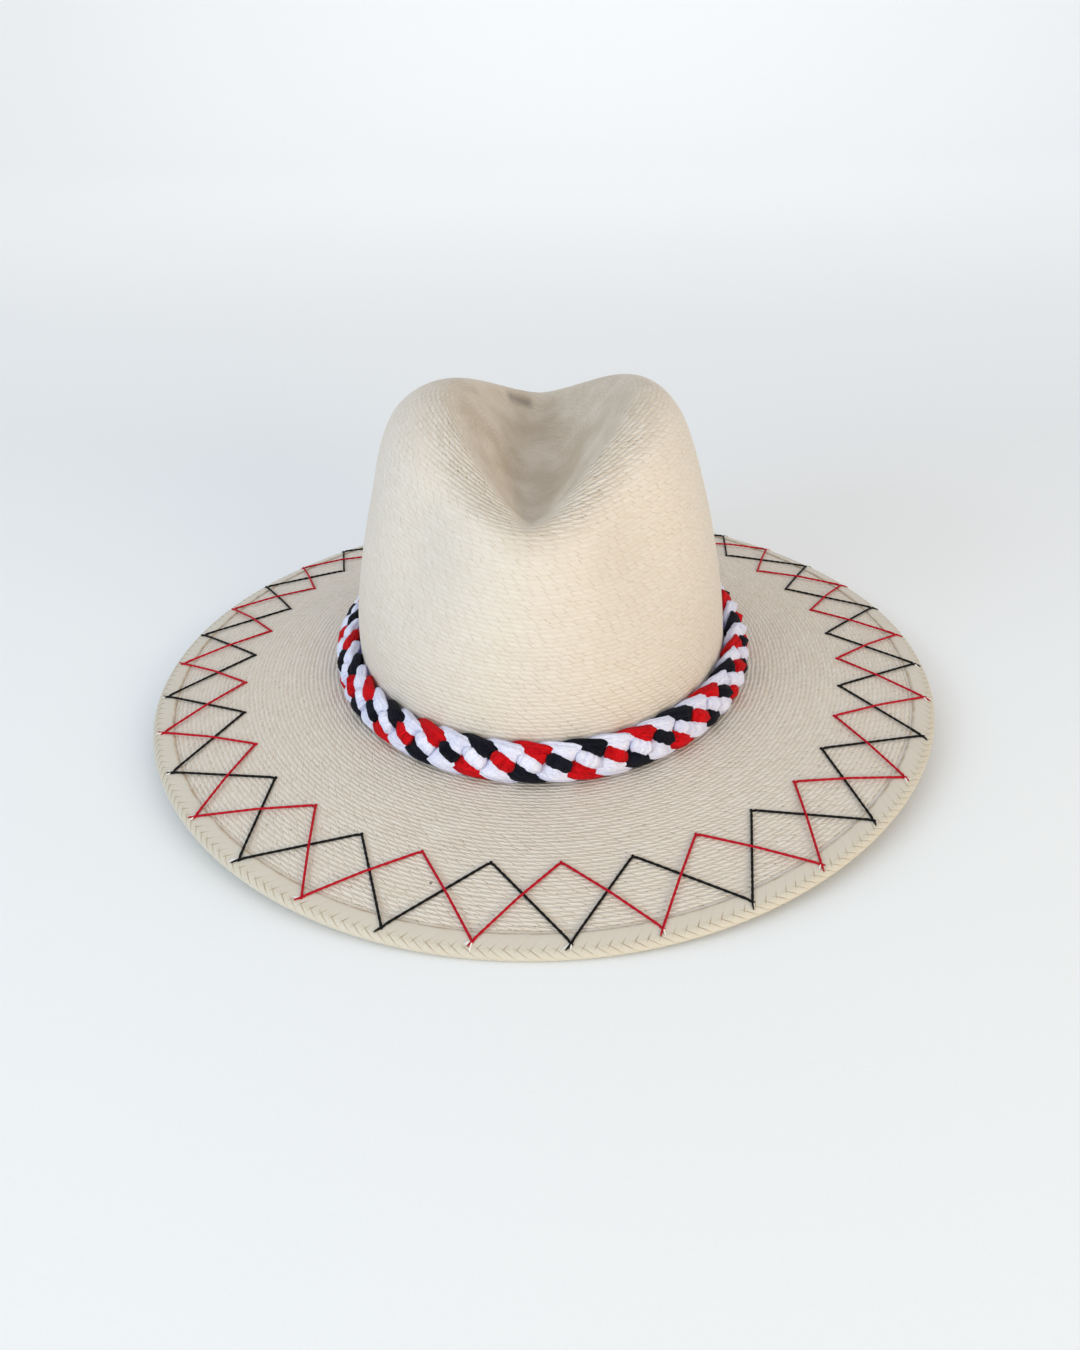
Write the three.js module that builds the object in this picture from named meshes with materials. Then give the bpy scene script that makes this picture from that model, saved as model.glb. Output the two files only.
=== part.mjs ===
// Palm leaf hat, in millimetres, +Z up. The front of the hat points to -Y and z = 0 is the surface that it
// rests on. The origin is the middle of the hat's box, at its foot.
//
// psi is the angle round the hat: 0 at the front, 90 degrees at the +X side, 180 degrees at the back.
// The straw is one wall, sewn in one piece from the middle of the dent, down the crown and out over the brim.
// The edge braid closes the brim, and four cotton strands are braided round the foot of the crown.

import * as THREE from 'three';

const STRAW_WALL = 2;
const GAP = 0.3;

// Plan sizes: the crown's foot, outside, for a head of about 57 cm, and the outer edge of the brim.
const CROWN_HALF_WIDTH = 84.5;
const CROWN_HALF_LENGTH = 101;
const BRIM_HALF_WIDTH = 176.5;
const BRIM_HALF_LENGTH = 194;
const BRIM_SQUARENESS = 2.06;

// The middle of the crown's foot is at ROOT_Z. From there the crown leans forward and a little to +X.
const ROOT_Z = 15.6;
const CROWN_LEAN = { forward: THREE.MathUtils.degToRad(1.76), side: THREE.MathUtils.degToRad(0.79) };

// The brim's edge is low on three facets, one at the front and one on each side of the back. Between them it
// rises, by sideLift at the most. The facets' corners are at the psi angles here, on both sides of the hat.
const BRIM_EDGE = { sideLift: 8.8, frontCorner: 3, footCorners: [147, 153], drop: 2.1 };

// The edge braid's section. Its foot is level, so that the hat rests on three flat facets.
const EDGE_BRAID = { width: 8.5, proud: 0.5, rollInset: 1.8, rollZ: 1.6, footInset: 1.2, footWidth: 3 };

const SIDES = 60;
const SIDE_ANGLE = 2 * Math.PI / SIDES;
const WAVE_SAMPLES = 360;
const RINGS_PER_SECTION = 2;
const BRIM_RINGS = 6;

// The crown's level sections, from its foot over the ridge to the middle of the dent, over ROOT_Z.
// A point power over 1 draws that end of the section to a point, which makes the sharp front of the dent.
// shift moves a section to the side.
const SECTION_COLUMNS = [
  'halfWidth', 'front', 'back', 'frontZ', 'sideZ', 'backZ', 'frontPoint', 'backPoint', 'shift',
];
const CROWN_SECTIONS = [
  [CROWN_HALF_WIDTH, CROWN_HALF_LENGTH, CROWN_HALF_LENGTH, 0, 0, 0, 1, 1, 0],
  [82, 98.5, 99.5, 36, 36, 36, 1.03, 1, -1.1],
  [72.7, 92, 94, 74, 79.7, 76.6, 1.15, 1, -1.4],
  [60.8, 83.8, 84.5, 94, 114, 87.8, 1.3, 1.02, -2.3],
  [40.2, 73, 65, 95.6, 124.7, 101.8, 1.76, 1.3, 0],
  [22.2, 62, 51.3, 90.5, 109, 97.5, 1.5, 1.1, 0],
  [10, 36, 26, 87.5, 92, 92, 1.1, 1, 0],
  [0, 0, 0, 89, 89, 89, 1, 1, 0],
].map((row) => Object.fromEntries(row.map((value, column) => [SECTION_COLUMNS[column], value])));

// How quickly a section climbs from its sides to its front and to its back. The ridge is higher on the +X
// side and its back stands towards -X. Both grow with the height of the section's sides, up to fullZ.
const RIDGE = { frontRoundness: 1.88, backRoundness: 2.12, tilt: 1.06, backDrift: 2.96, fullZ: 113 };

// Two shallow finger pinches push the front of the crown in, one on each side.
const PINCH = {
  psi: THREE.MathUtils.degToRad(47), spread: THREE.MathUtils.degToRad(17), z: 88, reach: 24, depth: 4,
};

// The band of four braided strands leans out at its foot. Strand 0 starts a repeat at startAt, in repeats.
const BAND = {
  repeats: 14, standOff: 5.15, centreZ: 8.9, lean: THREE.MathUtils.degToRad(25), startAt: 0.42, strands: 4,
};
// A strand's section is taken across the band. It is squeezed thinner where it tips to pass its neighbour.
const STRAND = {
  swing: 5.6, rise: 2.2, width: 4.2, thickness: 3.6, squeezed: 1.4, bank: THREE.MathUtils.degToRad(50), sides: 4,
};
// One repeat of a strand. across is 1 at the band's top edge and -1 at its foot. rise is 1 where the strand
// passes over another and -1 where it passes under. bank tips it between the two.
const STRAND_PATH = [
  { at: 0, across: 1, rise: 0, bank: 0 },
  { at: 1 / 8, across: 0.5, rise: 1, bank: 0 },
  { at: 3 / 16, across: 0.25, rise: 0, bank: 1 },
  { at: 1 / 4, across: 0, rise: -1, bank: 0 },
  { at: 5 / 16, across: -0.25, rise: 0, bank: -1 },
  { at: 3 / 8, across: -0.5, rise: 1, bank: 0 },
  { at: 1 / 2, across: -1, rise: 0, bank: 0 },
  { at: 5 / 8, across: -0.5, rise: -1, bank: 0 },
  { at: 11 / 16, across: -0.25, rise: 0, bank: 1 },
  { at: 3 / 4, across: 0, rise: 1, bank: 0 },
  { at: 13 / 16, across: 0.25, rise: 0, bank: -1 },
  { at: 7 / 8, across: 0.5, rise: -1, bank: 0 },
];

const ACROSS = new THREE.Vector3(1, 0, 0);
const BACKWARD = new THREE.Vector3(0, 1, 0);
const UP = new THREE.Vector3(0, 0, 1);

const straw = new THREE.MeshStandardMaterial({ color: 0xe3d8c2, roughness: 0.7, metalness: 0 });
const edgeStraw = new THREE.MeshStandardMaterial({ color: 0xd6c6a6, roughness: 0.65, metalness: 0 });
const blackCotton = new THREE.MeshStandardMaterial({ color: 0x1b1e26, roughness: 0.95, metalness: 0 });
const redCotton = new THREE.MeshStandardMaterial({ color: 0xc01018, roughness: 0.95, metalness: 0 });
const whiteCotton = new THREE.MeshStandardMaterial({ color: 0xeceaf4, roughness: 0.95, metalness: 0 });

function signedPower(value, power) {
  return Math.sign(value) * Math.abs(value) ** power;
}

// Tips a direction, or a point over the middle of the crown's foot, as the crown leans.
function lean(vector) {
  return vector.applyAxisAngle(ACROSS, CROWN_LEAN.forward).applyAxisAngle(BACKWARD, CROWN_LEAN.side);
}

function raise(point) {
  return point.setZ(point.z + ROOT_Z);
}

// How far the pinches push a point of the crown in, as a share of its distance from the middle.
function pinchShare(section, psi, z) {
  const fromFront = Math.abs(Math.atan2(Math.sin(psi), Math.cos(psi)));
  const away = (fromFront - PINCH.psi) / PINCH.spread;
  const above = (z - PINCH.z) / PINCH.reach;
  return PINCH.depth * section.halfWidth / CROWN_HALF_WIDTH ** 2 * Math.exp(-(away ** 2) - above ** 2);
}

// A point of one crown section at psi.
function sectionPoint(section, psi) {
  const ahead = Math.max(Math.cos(psi), 0);
  const behind = Math.max(-Math.cos(psi), 0);
  const pointPower = ahead > 0 ? section.frontPoint : section.backPoint;
  const z = section.sideZ
    + (section.frontZ - section.sideZ) * ahead ** RIDGE.frontRoundness
    + (section.backZ - section.sideZ) * behind ** RIDGE.backRoundness;
  const kept = 1 - pinchShare(section, psi, z);
  const grown = Math.min(section.sideZ / RIDGE.fullZ, 1);
  const x = section.halfWidth * signedPower(Math.sin(psi), pointPower);
  const y = section.back * behind - section.front * ahead;
  const sideways = section.shift - RIDGE.backDrift * grown * behind;
  const tilted = z + RIDGE.tilt * grown * Math.sin(psi);
  return raise(lean(new THREE.Vector3(x * kept + sideways, y * kept, tilted)));
}

// The crown's meridian at psi: a smooth curve through its sections, with one more knot past each end.
function crownMeridian(psi) {
  const knots = CROWN_SECTIONS.map((section) => sectionPoint(section, psi));
  const last = knots.length - 1;
  const before = knots[0].clone().multiplyScalar(2).sub(knots[1]);
  const after = knots[last].clone().multiplyScalar(2).sub(knots[last - 1]);
  return new THREE.CatmullRomCurve3([before, ...knots, after], false, 'catmullrom', 0.5);
}

function crownFoot(psi) {
  return sectionPoint(CROWN_SECTIONS[0], psi);
}

function brimEdge(psi) {
  const power = 2 / BRIM_SQUARENESS;
  const x = BRIM_HALF_WIDTH * signedPower(Math.sin(psi), power);
  const y = -BRIM_HALF_LENGTH * signedPower(Math.cos(psi), power);
  return new THREE.Vector3(x, y, 0);
}

// The wave of the edge before it is scaled. It is 0 at both ends of the three foot facets.
function edgeWave(psi) {
  const cosOf = (degrees) => Math.cos(THREE.MathUtils.degToRad(degrees));
  const away = BRIM_EDGE.footCorners.map((corner) => Math.cos(psi) - cosOf(corner));
  return (cosOf(BRIM_EDGE.frontCorner) - Math.cos(psi)) * away[0] * away[1];
}

const WAVE_PEAK = Math.max(
  ...Array.from({ length: WAVE_SAMPLES }, (_, sample) => edgeWave(Math.PI * sample / WAVE_SAMPLES)),
);

// How high the edge's underside is over the surface that the hat rests on.
function edgeLift(psi) {
  return BRIM_EDGE.sideLift * edgeWave(psi) / WAVE_PEAK;
}

// A point on the brim's top. share is 0 at the crown's foot and 1 at the outer edge.
function brimPoint(psi, share) {
  const foot = crownFoot(psi);
  const edgeTop = edgeLift(psi) + STRAW_WALL + EDGE_BRAID.proud;
  const z = foot.z + (edgeTop - foot.z) * share ** BRIM_EDGE.drop;
  return foot.lerp(brimEdge(psi), share).setZ(z);
}

function shareAtInset(psi, inset) {
  return 1 - inset / brimEdge(psi).distanceTo(crownFoot(psi).setZ(0));
}

// The angle of a corner. Corners are half a step off, so that a facet, and not a corner, faces the front.
function cornerAngle(side) {
  return SIDE_ANGLE * (side + 0.5);
}

function ringOf(pointAt) {
  return Array.from({ length: SIDES }, (_, side) => pointAt(cornerAngle(side)));
}

// The straw's outer face, ring by ring from the middle of the dent to the brim's edge.
function outerRings() {
  const last = CROWN_SECTIONS.length - 1;
  const meridians = ringOf(crownMeridian);
  const rings = [];
  for (let step = last * RINGS_PER_SECTION; step >= 0; step -= 1) {
    const share = (1 + step / RINGS_PER_SECTION) / (last + 2);
    rings.push(meridians.map((meridian) => meridian.getPoint(share)));
  }
  const edgeInset = EDGE_BRAID.width + GAP;
  for (let step = 1; step <= BRIM_RINGS; step += 1) {
    rings.push(ringOf((psi) => brimPoint(psi, shareAtInset(psi, edgeInset) * step / BRIM_RINGS)));
  }
  return rings;
}

// The normal of the strip between two neighbouring rings at one corner, pointing out of the hat.
function stripNormal(inner, outer, side) {
  const next = (side + 1) % SIDES;
  const previous = (side + SIDES - 1) % SIDES;
  const down = outer[side].clone().sub(inner[side]);
  const round = outer[next].clone().sub(outer[previous]).add(inner[next]).sub(inner[previous]);
  return down.cross(round).normalize();
}

// The straw's inner face: each corner moves in by the wall, along the bisector of the strips that meet there.
function innerRing(rings, index) {
  return rings[index].map((corner, side) => {
    const above = index > 1 ? stripNormal(rings[index - 1], rings[index], side) : UP.clone();
    const below = index < rings.length - 1 ? stripNormal(rings[index], rings[index + 1], side) : above.clone();
    const reach = STRAW_WALL / (1 + above.dot(below));
    return corner.clone().addScaledVector(above.add(below), -reach);
  });
}

function splitAtFirstCorner(corners, a, b, c, d) {
  return [a, b, c, a, c, d];
}

// Splits a warped face along the diagonal that bulges outwards, so that thin twisted sections never cross.
function splitOutwards(corners, a, b, c, d) {
  const normal = corners[b].clone().sub(corners[a]).cross(corners[c].clone().sub(corners[a]));
  const bulges = normal.dot(corners[d].clone().sub(corners[a])) <= 0;
  return bulges ? [a, b, c, a, c, d] : [a, b, d, b, c, d];
}

// A closed mesh of rows of corners. Each row is a loop. A row of one corner is a pole, and without poles the
// last row joins the first.
function closedMesh(name, rows, material, split = splitAtFirstCorner) {
  const starts = [];
  const corners = [];
  for (const row of rows) {
    starts.push(corners.length);
    corners.push(...row);
  }
  const hasPoles = rows[0].length === 1;
  const strips = hasPoles ? rows.length - 1 : rows.length;
  const faces = [];
  for (let strip = 0; strip < strips; strip += 1) {
    const here = rows[strip];
    const nextStrip = (strip + 1) % rows.length;
    const there = rows[nextStrip];
    const count = Math.max(here.length, there.length);
    for (let side = 0; side < count; side += 1) {
      const a = starts[strip] + side % here.length;
      const b = starts[nextStrip] + side % there.length;
      const c = starts[nextStrip] + (side + 1) % there.length;
      const d = starts[strip] + (side + 1) % here.length;
      if (a === d) faces.push(a, b, c);
      else if (b === c) faces.push(a, c, d);
      else faces.push(...split(corners, a, b, c, d));
    }
  }
  const geometry = new THREE.BufferGeometry().setFromPoints(corners);
  geometry.setIndex(faces);
  geometry.computeVertexNormals();
  const mesh = new THREE.Mesh(geometry, material);
  mesh.name = name;
  return mesh;
}

function crownAndBrim() {
  const outer = outerRings();
  const top = outer.shift()[0];
  const withPole = [[...Array(SIDES)].map(() => top), ...outer];
  const inner = outer.map((_, index) => innerRing(withPole, index + 1));
  const innerTop = top.clone().addScaledVector(UP, -STRAW_WALL);
  return closedMesh('crown_and_brim', [[top], ...outer, ...inner.reverse(), [innerTop]], straw);
}

// One section of the edge braid, from its roll over the top and under to its level foot.
function edgeBraidSection(psi) {
  const lift = edgeLift(psi);
  const onTop = (inset, raise) => {
    const point = brimPoint(psi, shareAtInset(psi, inset));
    return point.setZ(point.z + raise);
  };
  const atHeight = (inset, z) => brimPoint(psi, shareAtInset(psi, inset)).setZ(z);
  return [
    onTop(EDGE_BRAID.rollInset, EDGE_BRAID.proud),
    onTop(EDGE_BRAID.width, EDGE_BRAID.proud),
    onTop(EDGE_BRAID.width, -STRAW_WALL - EDGE_BRAID.proud),
    atHeight(EDGE_BRAID.footInset + EDGE_BRAID.footWidth, lift),
    atHeight(EDGE_BRAID.footInset, lift),
    atHeight(0, lift + EDGE_BRAID.rollZ),
  ];
}

function edgeBraid() {
  return closedMesh('edge_braid', ringOf(edgeBraidSection), edgeStraw);
}

// The band's middle line and its directions at a share of the way round, from the front towards +X.
function bandFrame(oval, share) {
  const middle = oval.getPointAt(((share % 1) + 1) % 1);
  const along = oval.getTangentAt(((share % 1) + 1) % 1);
  const outward = new THREE.Vector3(along.y, -along.x, 0);
  const across = UP.clone().multiplyScalar(Math.cos(BAND.lean)).addScaledVector(outward, -Math.sin(BAND.lean));
  const face = outward.clone().multiplyScalar(Math.cos(BAND.lean)).addScaledVector(UP, Math.sin(BAND.lean));
  const origin = raise(lean(new THREE.Vector3(middle.x, middle.y, BAND.centreZ)));
  return { origin, across: lean(across), face: lean(face) };
}

// A strand's section at one step of its path: a flat lozenge, tipped by the bank.
function strandSection(frame, step) {
  const tip = STRAND.bank * step.bank;
  const wide = frame.across.clone().multiplyScalar(Math.cos(tip)).addScaledVector(frame.face, Math.sin(tip));
  const deep = frame.face.clone().multiplyScalar(Math.cos(tip)).addScaledVector(frame.across, -Math.sin(tip));
  const thickness = step.bank === 0 ? STRAND.thickness : STRAND.squeezed;
  const middle = frame.origin.clone()
    .addScaledVector(frame.across, STRAND.swing * step.across)
    .addScaledVector(frame.face, STRAND.rise * step.rise);
  return Array.from({ length: STRAND.sides }, (_, side) => {
    const turn = 2 * Math.PI * side / STRAND.sides;
    return middle.clone()
      .addScaledVector(deep, Math.cos(turn) * thickness / 2)
      .addScaledVector(wide, Math.sin(turn) * STRAND.width / 2);
  });
}

function bandStrand(oval, index, name, material) {
  const rows = [];
  for (let repeat = 0; repeat < BAND.repeats; repeat += 1) {
    for (const step of STRAND_PATH) {
      const place = BAND.startAt + repeat + step.at + index / BAND.strands;
      rows.push(strandSection(bandFrame(oval, place / BAND.repeats), step));
    }
  }
  return closedMesh(name, rows, material, splitOutwards);
}

function braidedBand() {
  const halfWidth = CROWN_HALF_WIDTH + BAND.standOff;
  const halfLength = CROWN_HALF_LENGTH + BAND.standOff;
  const oval = new THREE.EllipseCurve(0, 0, halfWidth, halfLength, -Math.PI / 2, 1.5 * Math.PI);
  oval.arcLengthDivisions = 720;
  return [
    bandStrand(oval, 0, 'band_strand_black', blackCotton),
    bandStrand(oval, 1, 'band_strand_white_1', whiteCotton),
    bandStrand(oval, 2, 'band_strand_red', redCotton),
    bandStrand(oval, 3, 'band_strand_white_2', whiteCotton),
  ];
}

const hat = new THREE.Group();
hat.add(crownAndBrim(), edgeBraid(), ...braidedBand());

export default hat;
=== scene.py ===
# The looks of a palm leaf hat with a braided cotton band. Sizes in the tables are millimetres, and MM makes
# them metres. psi is the angle round the hat: 0 at the front (-Y), a quarter turn at the +X side.

import math
import random

import bpy
import numpy as np
from mathutils import Matrix, Vector


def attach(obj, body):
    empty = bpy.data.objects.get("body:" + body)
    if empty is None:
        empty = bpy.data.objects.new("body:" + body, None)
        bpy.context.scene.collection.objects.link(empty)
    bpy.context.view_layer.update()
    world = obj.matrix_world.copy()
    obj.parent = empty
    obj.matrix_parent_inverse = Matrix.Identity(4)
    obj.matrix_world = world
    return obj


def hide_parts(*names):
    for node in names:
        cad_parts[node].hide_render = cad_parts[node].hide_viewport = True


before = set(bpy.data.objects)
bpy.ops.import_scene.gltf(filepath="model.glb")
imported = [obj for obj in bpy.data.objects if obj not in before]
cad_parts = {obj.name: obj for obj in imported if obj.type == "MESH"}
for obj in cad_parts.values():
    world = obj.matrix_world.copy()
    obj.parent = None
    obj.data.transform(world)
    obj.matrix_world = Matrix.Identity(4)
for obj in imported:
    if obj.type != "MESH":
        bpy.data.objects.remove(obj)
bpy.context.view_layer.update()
MM = 0.001
TURN = 2 * math.pi
UP = np.array([0.0, 0.0, 1.0])

# The straw wall and the plan of the hat, as the solids have them.
WALL = 2.0
CROWN_HALF_WIDTH = 84.5
CROWN_HALF_LENGTH = 101.0
BRIM_HALF_WIDTH = 176.5
BRIM_HALF_LENGTH = 194.0
BRIM_SQUARENESS = 2.06
ROOT_Z = 15.6
CROWN_LEAN_FORWARD = math.radians(1.76)
CROWN_LEAN_SIDE = math.radians(0.79)
SIDE_LIFT = 8.8
FEET = [math.cos(math.radians(foot)) for foot in (3, 147, 153)]
LIFT_PEAK = 0.96
BRIM_DROOP = 2.1
EDGE_TOP = 2.5

# The crown's level sections from its foot over the ridge to the middle of the dent: half width, length ahead
# and behind, height over ROOT_Z ahead, at the sides and behind, points ahead and behind, and sideways shift.
CROWN_SECTIONS = (
    (CROWN_HALF_WIDTH, CROWN_HALF_LENGTH, CROWN_HALF_LENGTH, 0, 0, 0, 1, 1, 0),
    (82, 98.5, 99.5, 36, 36, 36, 1.03, 1, -1.1),
    (72.7, 92, 94, 74, 79.7, 76.6, 1.15, 1, -1.4),
    (60.8, 83.8, 84.5, 94, 114, 87.8, 1.24, 1.02, -2.3),
    (40.2, 73, 65, 95.6, 124.7, 101.8, 1.5, 1.3, 0),
    (22.2, 62, 51.3, 90.5, 109, 97.5, 1.3, 1.1, 0),
    (10, 36, 26, 87.5, 92, 92, 1.1, 1, 0),
    (0, 0, 0, 89, 89, 89, 1, 1, 0),
)
FRONT_ROUNDNESS = 1.88
BACK_ROUNDNESS = 2.12
# The ridge is a little higher on the +X side, and its back stands towards -X. Both grow with height, and fade
# out inside the dent's last DENT_FLAT mm.
RIDGE_TILT = 1.06
BACK_DRIFT = 2.96
FULL_Z = 113
DENT_FLAT = 10
# The two shallow finger pinches at the front of the crown.
PINCH_PSI = math.radians(43)
PINCH_SPREAD = math.radians(16)
PINCH_Z = 88
PINCH_REACH = 24
PINCH_DEPTH = 8.5

# The sewn rows of palm braid, and the small bend between crown and brim. A step of a row is its place in the
# row and the height of its relief there.
TICK_LENGTH = 4.8
ROOT_BEND = 3.0
BEND_START = 0.0835
EDGE_SEAM_INSET = 8.8
ROW_STEPS = ((0.0, -0.13), (0.28, 0.04), (0.7, 0.02))
SMOOTH_ROWS = 3
CLOSED_RELIEF = 0.1
# The wobble of the relief: how high, its seed, and how fast it changes from row to row.
CROWN_WOBBLE = (0.04, 11, 1.7)
BRIM_WOBBLE = (0.05, 12, 1.3)
# How open the rows stand, from 0 to 1: in each part, at the crown's foot, and at the dent's lip, by rows out
# from it. LIP_SHARES is how wide this strip is, and LIP_STRENGTHS how open, at psi in degrees.
CROWN_OPEN = 0.22
DENT_OPEN = 0.05
BRIM_OPEN = 0.62
INSIDE_OPEN = 0.5
FOOT_ROWS = (66, 90)
FOOT_OPEN = 0.16
LIP_ROWS = ((-3, 0), (-1, 0.55), (1, 1), (4, 1), (9, 0.3), (14, 0))
LIP_SHARES = ((0, 0.45), (14, 0.6), (32, 1))
LIP_STRENGTHS = ((0, 0.4), (12, 0.62), (27, 1), (48, 1), (100, 0.25))
# The rows among which the lip is looked for, how it is blurred, and the rows from it over which the dent's
# closed rows open and its painted shade fades.
LIP_SEARCH = (8, 52)
LIP_BLUR = 9
LIP_SHARPNESS = 6
LIP_ROUND_BLUR = 5
LIP_OPENS = (-5, 3)
DENT_EDGE = (-4, 8)
BRIM_RELIEF = 0.4
CROWN_ROWS = 98
CROWN_COLUMNS = 224
BRIM_ROWS = 42
BRIM_COLUMNS = 448
CURVE_STEPS = 420
BEND_STEPS = 7
TABLE_STEPS = 2880

# The plait on the brim's edge: its section as inset and height over the brim's top, and one strip's steps.
PLAIT_REPEAT = 4.5
PLAIT_SECTION = (
    (9.3, 0.02), (9.15, 0.42), (8.5, 0.7), (6.0, 0.8), (3.0, 0.75), (1.4, 0.42), (0.4, -0.35), (0.05, -1.2),
    (0.5, -2.05), (1.6, -2.5), (4.2, -2.95), (8.4, -2.5), (8.6, -0.3),
)
PLAIT_POINTS = 30
PLAIT_FOLD_INSET = 2.9
PLAIT_HIDDEN_INSET = 8.45
PLAIT_STEPS = ((0.0, -0.1), (0.05, -0.01), (0.3, 0.02), (0.55, 0.05), (0.8, 0.08), (0.93, 0.08), (0.98, 0.01))
PLAIT_INNER_RELIEF = 0.12
PLAIT_INNER_LEAN = 0.75
PLAIT_OUTER_LEAN = 1.5
PLAIT_CROSS_REACH = (0.5, 1.3)

# The band of four strands, braided flat. It leans out at its foot.
BAND_REPEATS = 14
BAND_STAND_OFF = 5.15
BAND_Z = 8.9
BAND_LEAN = math.radians(25)
BAND_START = 0.42
STRAND_SWING = 4.6
STRAND_RISE = 2.0
STRAND_WIDTH = 7.6
STRAND_THICKNESS = 4.8
STRAND_SQUEEZE = 0.72
STRAND_BANK = math.radians(30)
STRAND_STEPS = 36
# The way down the band is long and flat, and the way up short and steep. This is the share of the way down.
STRAND_DOWN = 0.68
STRAND_FLATNESS = 0.85
# Where in a repeat a strand is wider, by how much, and for which share of the repeat.
STRAND_WIDER = (
    (0.75, 0.42, 0.055), (0.18, 0.2, 0.06), (0.32, 0.2, 0.06), (0.675, -0.22, 0.03), (0.825, -0.22, 0.03),
)
# The folds of the cloth round a strand: how many, how high, how far they sway to and fro in how many repeats,
# where the sway starts, and how much they differ from strand to strand.
STRAND_FOLDS = ((5, 0.045, 3, 3.5, 0, 1), (9, 0.03, -2, 2, 0.25, 0), (14, 0.014, 4, 1.4, 0.25, 0))
STRAND_ROUNDNESS = (0.94, 0.9)
STRAND_WANDER = 0.012
STRAND_UNEVEN = 0.05
STRAND_SIDES = 36
# One repeat of a strand: place, over or under, and tip to one side.
STRAND_PATH = (
    (0, 0, 0), (1 / 8, 1, 0), (3 / 16, 0, 1), (1 / 4, -1, 0), (5 / 16, 0, -1), (3 / 8, 1, 0), (1 / 2, 0, 0),
    (5 / 8, -1, 0), (11 / 16, 0.35, 0.75), (3 / 4, 1.8, 0), (13 / 16, 0.35, -0.75), (7 / 8, -1, 0), (1, 0, 0),
)

# The zigzag threads on the brim. A corner has its inset and how far this wanders.
THREAD_CORNERS = 36
THREAD_OUTER_CORNER = (4.5, 0.5)
THREAD_INNER_CORNER = (40.0, 1.2)
THREAD_PSI_WANDER = 0.003
THREAD_SPREAD = 5.7
THREAD_SHIFT = 1.4
THREAD_RADIUS = 0.48
THREAD_STEP = 0.8
THREAD_SIDES = 10
THREAD_TWIST = 3.2
THREAD_PLY = 0.14
# At a corner a thread dips into the straw within so many mm. Its middle is THREAD_DEPTH radii deep there, and
# climbs by THREAD_CLIMB radii. The red thread rises over the black one for a share of the run.
THREAD_DIP = 1.3
THREAD_DEPTH = 1.1
THREAD_CLIMB = 2.0
THREAD_CROSSING_RISE = 0.85
THREAD_CROSSING_SHARE = 0.012

# The thread's knots, its two loose ends at the outer corners, and the white palm fibres beside them. A form
# is the radii from the start to the tip, how far the tube wanders aside, and how far its tip lifts.
KNOT_LENGTH = 1.5
KNOT_FORM = ((0.3, 0.62, 0.66, 0.28), 0.1, 0.0)
TAIL_LENGTHS = (2.3, 3.5)
TAIL_FORM = ((0.46, 0.44, 0.36, 0.3, 0.14), 0.5, 0.2)
SHORT_TAIL_LENGTHS = (0.7, 1.5)
SHORT_TAIL_FORM = ((0.44, 0.4, 0.3, 0.15), 0.3, 0.15)
FIBRE_COUNTS = (0, 1, 2, 3)
FIBRE_TURNS = (0.25, 0.6)
FIBRE_LENGTHS = (2.6, 4.4)
FIBRE_FORM = ((0.3, 0.38, 0.28, 0.08), 0.4, 0.1)
TUBE_ROUNDNESS = 3

# The top of the edge plait, as inset and height over the brim's smooth top.
PLAIT_TOP = ((0.1, -1.2), (0.5, -0.3), (1.4, 0.46), (3.0, 0.8), (6.0, 0.85), (8.5, 0.78), (9.0, 0.1))

# Straw colours. The plain ones are for viewers that show no nodes.
STRAW_PLAIN = (0.75, 0.67, 0.54)
PLAIT_PLAIN = (0.78, 0.69, 0.53)
STRAW_PALE = (0.73, 0.655, 0.555)
STRAW_TAN = (0.66, 0.565, 0.44)
STRAW_WHITE = (0.765, 0.705, 0.645)
STRAW_WORN = (0.66, 0.595, 0.525)
STRAW_GROOVE = (0.36, 0.265, 0.165)
STRAW_HOLE = (0.13, 0.10, 0.07)
STRAW_TICK = (0.43, 0.30, 0.17)
PLAIT_PALE = (0.63, 0.575, 0.465)
PLAIT_TAN = (0.60, 0.52, 0.40)
PLAIT_WHITE = (0.68, 0.64, 0.55)
PLAIT_LINE = (0.33, 0.235, 0.13)
# Painted shade on the outer roll of the edge plait, deeper as it curls outwards from the fold.
PLAIT_ROLL_SHADE = (0.55, 0.46, 0.34)
# Painted highlight along the raised ridge of each dash of the braid.
STRAW_DASH_HIGHLIGHT = (0.83, 0.795, 0.74)
# Painted shade for the hollow of the dent, laid on in uneven patches.
STRAW_DENT_SHADE = (0.43, 0.345, 0.245)
# The lines of the braid: how strongly each shows where the rows lie closed and where they stand open.
STRAW_LINES = (
    ("Edge", 0.1, 0.42, STRAW_GROOVE), ("Tick", 0.5, 0.5, STRAW_TICK), ("Hole", 0.15, 1.0, STRAW_HOLE),
)
# How far ticks slant from row to row and shift at random, in ticks, and a tick's length over a row's width.
BRAID_SLANT = 0.5
BRAID_JITTER = 0.5
TICK_OVER_ROW = 2.46
# The rows round the middle of the dent over which the lines come in, and the seam beside the edge plait.
CLEAR_ROWS = (2.0, 6.0)
SEAM_ROWS = (138.3, 139.0)
# The soft dark mark on the back lip of the dent: its colour, middles, radius and strength.
BACK_MARK_COLOUR = (0.23, 0.20, 0.17)
BACK_MARK_CENTRES = (
    (-14, 45.4, 122.4), (-12, 46.9, 121.2), (-10.2, 48.2, 120.1), (-8.8, 49.2, 119.3), (-7.4, 50, 118.5),
)
BACK_MARK_RADIUS = 4.4
BACK_MARK_STRENGTH = 0.72
# One dark brown speck on the brim, just outside a red corner at the front left.
SPECK_COLOUR = (0.07, 0.045, 0.03)
SPECK_PLACE = (-32.4, -163.4, 8.1)
SPECK_RADIUS = 0.75
MARK_GRAIN = 420.0
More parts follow.
